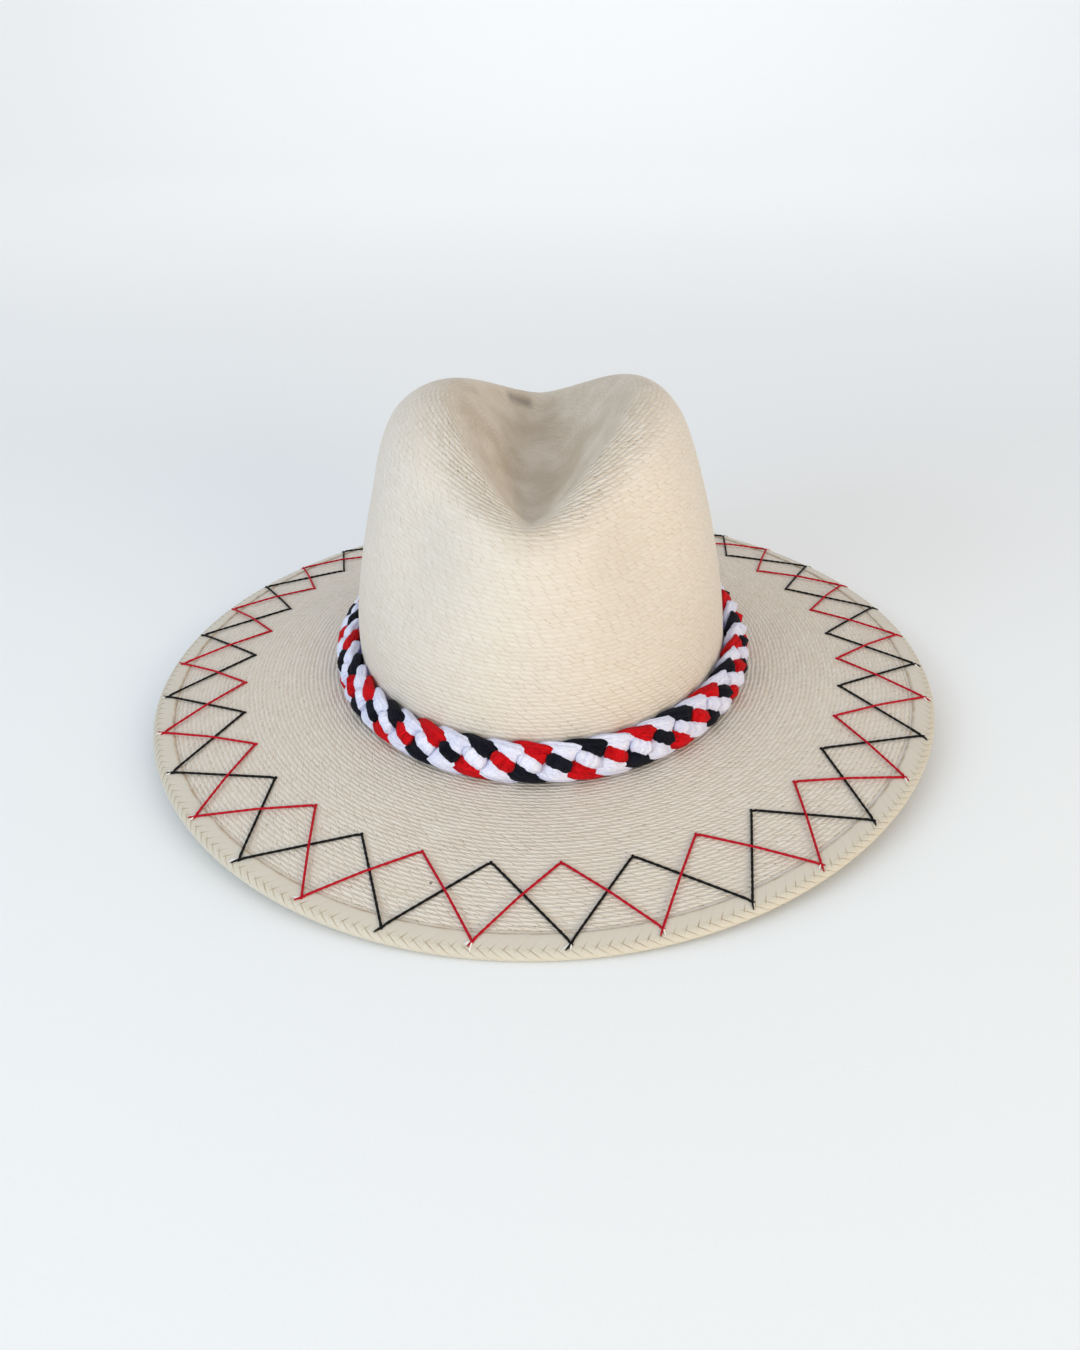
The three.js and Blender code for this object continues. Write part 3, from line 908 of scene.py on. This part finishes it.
def fill(node, inputs):
    """Fills a node's inputs, by name or number, with numbers, colours or values of its tree."""
    for name, value in inputs.items():
        if isinstance(value, Value):
            value.tree.links.new(value.socket, node.inputs[name])
        else:
            node.inputs[name].default_value = value


def add_node(tree, kind, inputs=None, output=0, **settings):
    """Adds a node and returns one of its outputs."""
    node = tree.nodes.new(kind)
    for name, value in settings.items():
        setattr(node, name, value)
    fill(node, inputs or {})
    return Value(node.outputs[output])


def calc(operation, *values):
    tree = next(value.tree for value in values if isinstance(value, Value))
    return add_node(tree, "ShaderNodeMath", dict(enumerate(values)), operation=operation)


def painted(colour, *layers):
    """A colour with others over it. Each layer is how much it covers, from 0 to 1, and its colour."""
    for share, over in layers:
        under, over = (one if isinstance(one, Value) else (*one, 1) for one in (colour, over))
        inputs = {0: share, 6: under, 7: over}
        colour = add_node(share.tree, "ShaderNodeMix", inputs, 2, data_type="RGBA", clamp_factor=True)
    return colour


def vector_of(x, y, z):
    return add_node(x.tree, "ShaderNodeCombineXYZ", {"X": x, "Y": y, "Z": z})


def noise(vector, scale, detail=2.0, roughness=0.5):
    inputs = {"Vector": vector, "Scale": scale, "Detail": detail, "Roughness": roughness}
    return add_node(vector.tree, "ShaderNodeTexNoise", inputs, "Fac")


def random_of(x, y, z):
    """A random value from 0 to 1 for each set of three."""
    vector = vector_of(x, y, z)
    return add_node(x.tree, "ShaderNodeTexWhiteNoise", {"Vector": vector}, "Value", noise_dimensions="3D")


def attribute(tree, name):
    return add_node(tree, "ShaderNodeAttribute", output="Fac", attribute_name=name)


def place_of(tree):
    """The point itself, in metres."""
    return add_node(tree, "ShaderNodeTexCoord", output="Object")


def uv_of(tree):
    uv = add_node(tree, "ShaderNodeUVMap", uv_map="UVMap")
    return [add_node(tree, "ShaderNodeSeparateXYZ", {"Vector": uv}, axis) for axis in ("X", "Y")]


def bump(height, distance):
    inputs = {"Height": height, "Distance": distance, "Strength": 1.0}
    return add_node(height.tree, "ShaderNodeBump", inputs)


def new_group(name, inputs, outputs):
    """A shader node group with float sockets, the values it is given, and the node that takes its results."""
    group = bpy.data.node_groups.new(name, "ShaderNodeTree")
    for socket in inputs:
        group.interface.new_socket(socket, in_out="INPUT", socket_type="NodeSocketFloat")
    for socket in outputs:
        group.interface.new_socket(socket, in_out="OUTPUT", socket_type="NodeSocketFloat")
    given = group.nodes.new("NodeGroupInput").outputs
    return group, [Value(given[socket]) for socket in inputs], group.nodes.new("NodeGroupOutput")


def group_node(group, inputs):
    """A node of this group. Returns its outputs by name."""
    node = next(iter(inputs.values())).tree.nodes.new("ShaderNodeGroup")
    node.node_tree = group
    fill(node, inputs)
    return {output.name: Value(output) for output in node.outputs}


def make_braid_row_group():
    """Rows of sewn braid. Each row is a rope of long dashes that run down from its one side to the other, and
    between them are slanted ticks, which go on from row to row with small breaks. Edge, Tick and Hole are
    masks, DashHighlight is a painted highlight along the ridge of each dash, and Swell is the rounded height
    of the row."""
    group, (around, rows, ticks), out = new_group(
        "braid_rows", ("Around", "Row", "Ticks"), ("Swell", "Tone", "Edge", "Tick", "Hole", "DashHighlight"))
    round_hat = around * ticks
    sway = noise(vector_of(round_hat * 0.55, rows * 0.4, 9.2), 1.0, 3.0)
    swayed = rows + sway.remap(0.25, 0.75, -0.2, 0.2)
    row, within, to_edge = swayed.cell()
    along = round_hat + random_of(row, 3.1, 0.0) * BRAID_JITTER
    slanted = along - rows * BRAID_SLANT
    wobble = noise(vector_of(slanted * 0.7, rows, 1.7), 1.0)
    slanted = slanted + wobble * 0.45
    tick, inside, to_end = slanted.cell()

    chance = random_of(slanted.nearest(), row, 7.7)
    tick_line = to_end.fade(0.02, 0.075) * (chance.remap(0.1, 0.9, 0.2, 1.0) * to_edge.remap(0.02, 0.2))

    broken = noise(vector_of(along * 1.3, swayed.nearest(), 0.0), 2.1)
    edge_line = to_edge.fade(0.03, 0.17) * broken.remap(0.36, 0.62, 0.08, 1.0)

    end_far = to_end * TICK_OVER_ROW
    spot = calc("SQRT", end_far * end_far + to_edge * to_edge)
    hole = spot.fade(0.1, 0.24) * random_of(slanted.nearest(), swayed.nearest(), 2.9).remap(0.6, 0.9)

    beside = calc("ABSOLUTE", within - (inside * 0.44 + 0.28))
    ridge = beside.fade(0.06, 0.32) * calc("SINE", inside * math.pi).remap(0.05, 0.6)
    round_over = calc("SINE", within * math.pi)
    fill(out, {
        "Swell": calc("POWER", round_over, 0.6) * 0.55 + ridge * 0.6,
        "Tone": random_of(tick, row, 1.3),
        "Edge": edge_line,
        "Tick": tick_line,
        "Hole": hole,
        "DashHighlight": ridge * random_of(tick, row, 4.4).remap(0.15, 1.0),
    })
    return group


def make_fibre_group():
    """Fine fibres that run along the first coordinate, for palm leaf, cotton and thread."""
    group, given, out = new_group("fibres", ("Along", "Across", "Seed"), ("Fibre",))
    fill(out, {"Fibre": noise(vector_of(*given), 1.0, 4.0, 0.65)})
    return group


def new_material(name, roughness, colour=(0.8, 0.8, 0.8)):
    material = bpy.data.materials.new(name)
    material.use_nodes = True
    material.diffuse_color = (*colour, 1)
    shader = material.node_tree.nodes["Principled BSDF"]
    fill(shader, {"Roughness": roughness})
    return material, material.node_tree, shader


def mark_mask(place, centres, radius):
    """1 inside a soft, uneven mark round centres. centres and radius are in mm."""
    far = None
    for centre in centres:
        inputs = {0: place, 1: [value * MM for value in centre]}
        here = add_node(place.tree, "ShaderNodeVectorMath", inputs, "Value", operation="DISTANCE")
        far = here if far is None else calc("MINIMUM", far, here)
    ragged = calc("DIVIDE", far, radius * MM) + noise(place, MARK_GRAIN, 3.0, 0.6) * 0.6
    return ragged.fade(0.55, 1.35)


def make_straw_material(braid_rows, fibres):
    material, tree, shader = new_material("sewn_palm_braid", 0.62, STRAW_PLAIN)
    around, row = uv_of(tree)
    ticks, opened, dent_shade = (attribute(tree, name) for name in ("ticks", "opened", "dent_shade"))
    place = place_of(tree)
    braid = group_node(braid_rows, {"Around": around, "Row": row, "Ticks": ticks})
    fibre = group_node(fibres, {"Along": around * ticks * 2.0, "Across": row * 7.0})["Fibre"]
    clear = row.remap(*CLEAR_ROWS)
    worn = noise(place, 14.0, 3.0, 0.6).remap(0.35, 0.7, 0.0, 0.35)
    patches = noise(place, 48.0, 2.5, 0.55).remap(0.36, 0.64, 0.27, 0.7)
    lines = [
        (braid[name] * clear * opened.remap(0.1, 1.0, closed, wide), colour)
        for name, closed, wide, colour in STRAW_LINES
    ]
    colour = painted(
        STRAW_PALE,
        (braid["Tone"] * 0.5, STRAW_TAN),
        (fibre.remap(0.35, 0.7, 0.0, 0.6), STRAW_WHITE),
        (worn, STRAW_WORN),
        # Painted shade in the hollow of the dent, in uneven patches.
        (dent_shade * patches, STRAW_DENT_SHADE),
        # Painted highlight along the ridge of each dash, stronger where the rows stand open.
        (braid["DashHighlight"] * opened.remap(0.1, 1.0, 0.2, 0.9), STRAW_DASH_HIGHLIGHT),
        *lines,
        (braid["Edge"] * row.remap(*SEAM_ROWS) * 0.7, STRAW_GROOVE),
        (mark_mask(place, BACK_MARK_CENTRES, BACK_MARK_RADIUS) * BACK_MARK_STRENGTH, BACK_MARK_COLOUR),
        (mark_mask(place, (SPECK_PLACE,), SPECK_RADIUS), SPECK_COLOUR),
    )
    height = braid["Swell"] * 2.4 - (braid["Tick"] * 0.5 + braid["Hole"])
    height = (height * (opened + 0.08) + fibre * 0.7) * clear
    roughness = fibre.remap(0.3, 0.7, 0.5, 0.72)
    fill(shader, {"Base Color": colour, "Roughness": roughness, "Normal": bump(height, STRAW_BUMP)})
    return material


def make_plait_material(fibres):
    """Flat palm strips folded over the edge. They lie plain inside and show their joints at the fold, with a
    small hook where one strip crosses the next. across is in mm from the fold outwards."""
    material, tree, shader = new_material("plaited_palm_edge", 0.5, PLAIT_PLAIN)
    along, across = uv_of(tree)
    outside = calc("GREATER_THAN", across, 0.0)
    from_fold = calc("ABSOLUTE", across)
    strip, _, to_joint = along.cell()
    worn = random_of(along.nearest(), outside, 8.0)
    fibre = group_node(fibres, {"Along": across * 0.9, "Across": along * 22.0, "Seed": 4.0})["Fibre"]
    near_fold = calc("MINIMUM", across.remap(1.2, 2.6, 1.0, 0.1), across.remap(-2.6, -0.8, 0.12, 1.0))
    joint = to_joint.fade(0.02, 0.085) * near_fold * worn.remap(0.0, 1.0, 0.5, 1.0)
    leans = (PLAIT_INNER_LEAN + PLAIT_OUTER_LEAN) / PLAIT_REPEAT
    _, _, to_cross = (along + from_fold * leans).cell()
    cross = to_cross.fade(0.015, 0.06) * from_fold.remap(*PLAIT_CROSS_REACH, 0.8, 0.0)
    seam_tone = noise(vector_of(along * 0.6, 0.0, 0.0), 1.0).remap(0.4, 0.6, 0.15, 0.75)
    colour = painted(
        PLAIT_PALE,
        (random_of(strip, outside, 5.0), PLAIT_TAN),
        # Painted shade on the outer roll, deeper outwards from the fold.
        (across.remap(0.2, 1.6, 0.0, 0.5), PLAIT_ROLL_SHADE),
        (fibre.remap(0.35, 0.7), PLAIT_WHITE),
        (across.remap(-2.0, -0.3, 0.45, 0.0), STRAW_WORN),
        (across.fade(-6.3, -5.7) * seam_tone, STRAW_TICK),
        (from_fold.remap(0.05, 0.4, 0.1, 0.0), PLAIT_LINE),
        (calc("MAXIMUM", joint, cross * worn.remap(0.0, 1.0, 0.9, 0.4)), PLAIT_LINE),
    )
    roughness = fibre.remap(0.3, 0.7, 0.42, 0.6)
    fill(shader, {"Base Color": colour, "Roughness": roughness, "Normal": bump(fibre, PLAIT_BUMP)})
    return material


def make_cotton_material(name, fibres, deep, light, seed, glow=0.0):
    """Soft knitted cotton cord: lengthwise folds, a fine knit and a little fuzz on the surface. glow is the
    strength of a faint blue glow painted on as emission, which stands in for the blue that the brightener in
    white cotton gives back."""
    material, tree, shader = new_material(name, 0.95, light)
    along, across = uv_of(tree)
    knit = group_node(fibres, {"Along": along * 46.0, "Across": across * 34.0, "Seed": seed})["Fibre"]
    folds = group_node(fibres, {"Along": along * 5.0, "Across": across * 9.0, "Seed": seed + 5})["Fibre"]
    # The colour runs from deep, a painted shade in the low parts of the folds and knit, to light on their
    # tops.
    share = knit * 0.5 + folds * 0.6
    fill(shader, {
        "Base Color": painted(deep, (share.remap(0.40, 0.60), light)),
        "Sheen Weight": 0.04,
        "Sheen Roughness": 0.4,
        "Specular IOR Level": 0.08,
        # A faint blue glow painted on as emission: the white cord lights itself a little, even in shade.
        "Emission Color": (*PAINTED_GLOW_COLOUR, 1),
        "Emission Strength": glow,
        "Normal": bump(knit * 0.4 + folds, COTTON_BUMP),
    })
    return material


def make_thread_material(name, fibres, deep, light, seed):
    material, tree, shader = new_material(name, 0.75, light)
    along, across = uv_of(tree)
    twist = along * 1.9 + across * 9.0
    fibre = group_node(fibres, {"Along": along * 0.6, "Across": twist, "Seed": seed})["Fibre"]
    colour = painted(deep, (fibre.remap(0.35, 0.65), light))
    fill(shader, {"Base Color": colour, "Specular IOR Level": 0.15, "Normal": bump(fibre, THREAD_BUMP)})
    return material


def make_mottled_material(name, roughness, first, second, scale, plain=(0.8, 0.8, 0.8)):
    """A material of two colours in soft grains."""
    material, tree, shader = new_material(name, roughness, plain)
    fill(shader, {"Base Color": painted(first, (noise(place_of(tree), scale), second))})
    return material


def make_floor():
    """A pale floor that runs up into a wall behind the hat. One extruded profile, in metres."""
    profile = [(FLOOR_FRONT, 0)]
    for turn in np.linspace(0, math.pi / 2, SWEEP_STEPS + 1):
        profile.append((SWEEP_START + SWEEP_RADIUS * math.sin(turn), SWEEP_RADIUS * (1 - math.cos(turn))))
    profile.append((SWEEP_START + SWEEP_RADIUS, WALL_TOP))
    bpy.ops.mesh.primitive_grid_add(x_subdivisions=1, y_subdivisions=len(profile) - 1, size=2)
    floor = bpy.context.object
    floor.name = floor.data.name = "floor"
    for vertex in floor.data.vertices:
        y, z = profile[round((vertex.co.y + 1) / 2 * (len(profile) - 1))]
        vertex.co = (vertex.co.x * FLOOR_HALF_WIDTH, y, z)
    bpy.ops.object.shade_smooth()
    floor.data.materials.append(make_mottled_material("pale_floor", 0.8, *FLOOR_COLOURS, 900.0))


def make_camera():
    up_angle, side_angle = CAMERA_HEIGHT_ANGLE, CAMERA_SIDE_ANGLE
    back = Vector((
        math.sin(side_angle) * math.cos(up_angle),
        -math.cos(side_angle) * math.cos(up_angle),
        math.sin(up_angle),
    ))
    right = (-back).cross(Vector((0, 0, 1))).normalized()
    above = right.cross(-back)
    c, s = math.cos(CAMERA_ROLL), math.sin(CAMERA_ROLL)
    right, above = right * c + above * s, above * c - right * s
    camera = new_object("camera", bpy.data.cameras.new("camera"))
    camera.matrix_world = Matrix((right, above, back)).transposed().to_4x4()
    camera.location = (Vector(LOOK_AT) + back * CAMERA_DISTANCE) * MM
    camera.data.lens = CAMERA_LENS
    camera.data.clip_start = 0.01
    bpy.context.scene.camera = camera


def make_light(name, place, size, power, colour, target):
    light = bpy.data.lights.new(name, "AREA")
    light.shape = "RECTANGLE"
    light.size, light.size_y = size
    light.energy = power
    light.color = colour
    lamp = new_object(name, light)
    lamp.location = place
    aim = Vector(target) - Vector(place)
    lamp.rotation_euler = aim.to_track_quat("-Z", "Y").to_euler()


def make_lights():
    for light in LIGHTS:
        make_light(*light)
    world = bpy.data.worlds.new("studio")
    world.use_nodes = True
    fill(world.node_tree.nodes["Background"], {"Color": (*WORLD_COLOUR, 1), "Strength": WORLD_STRENGTH})
    bpy.context.scene.world = world
    bpy.context.scene.view_settings.view_transform = "Standard"


make_camera()
make_lights()
make_floor()

fibres = make_fibre_group()
straw = make_straw_material(make_braid_row_group(), fibres)
plait = make_plait_material(fibres)
# For the cords, deep is a painted shade for the low parts of their folds and knit, and light the colour of
# their tops.
black_cotton = make_cotton_material(
    "black_cotton_cord", fibres, deep=(0.001, 0.001, 0.003), light=(0.011, 0.012, 0.020), seed=1.0)
red_cotton = make_cotton_material(
    "red_cotton_cord", fibres, deep=(0.30, 0.001, 0.003), light=(0.70, 0.007, 0.012), seed=2.0)
white_cotton = make_cotton_material(
    "white_cotton_cord", fibres, deep=(0.64, 0.65, 0.82), light=(0.88, 0.885, 0.975), seed=3.0, glow=0.07)
red_thread = make_thread_material(
    "red_thread", fibres, deep=(0.32, 0.003, 0.010), light=(0.62, 0.008, 0.026), seed=6.0)
black_thread = make_thread_material(
    "black_thread", fibres, deep=(0.002, 0.002, 0.002), light=(0.010, 0.010, 0.011), seed=7.0)
torn_palm = make_mottled_material(
    "torn_palm_fibre", 0.6, (0.74, 0.70, 0.62), (0.92, 0.91, 0.88), 2200.0, plain=(0.86, 0.84, 0.8))

make_crown(straw)
make_brim(straw)
make_edge_plait(plait)
make_strand("band_strand_black", 0, black_cotton)
make_strand("band_strand_white_1", 1, white_cotton)
make_strand("band_strand_red", 2, red_cotton)
make_strand("band_strand_white_2", 3, white_cotton)
make_thread("black_thread", 0, 0.0, black_thread)
make_thread("red_thread", 1, THREAD_CROSSING_RISE, red_thread)
torn_fibres = make_thread_ends("black_thread_ends", 0, black_thread)
torn_fibres += make_thread_ends("red_thread_ends", 1, red_thread)
tube_set("torn_palm_fibres", torn_fibres, torn_palm)
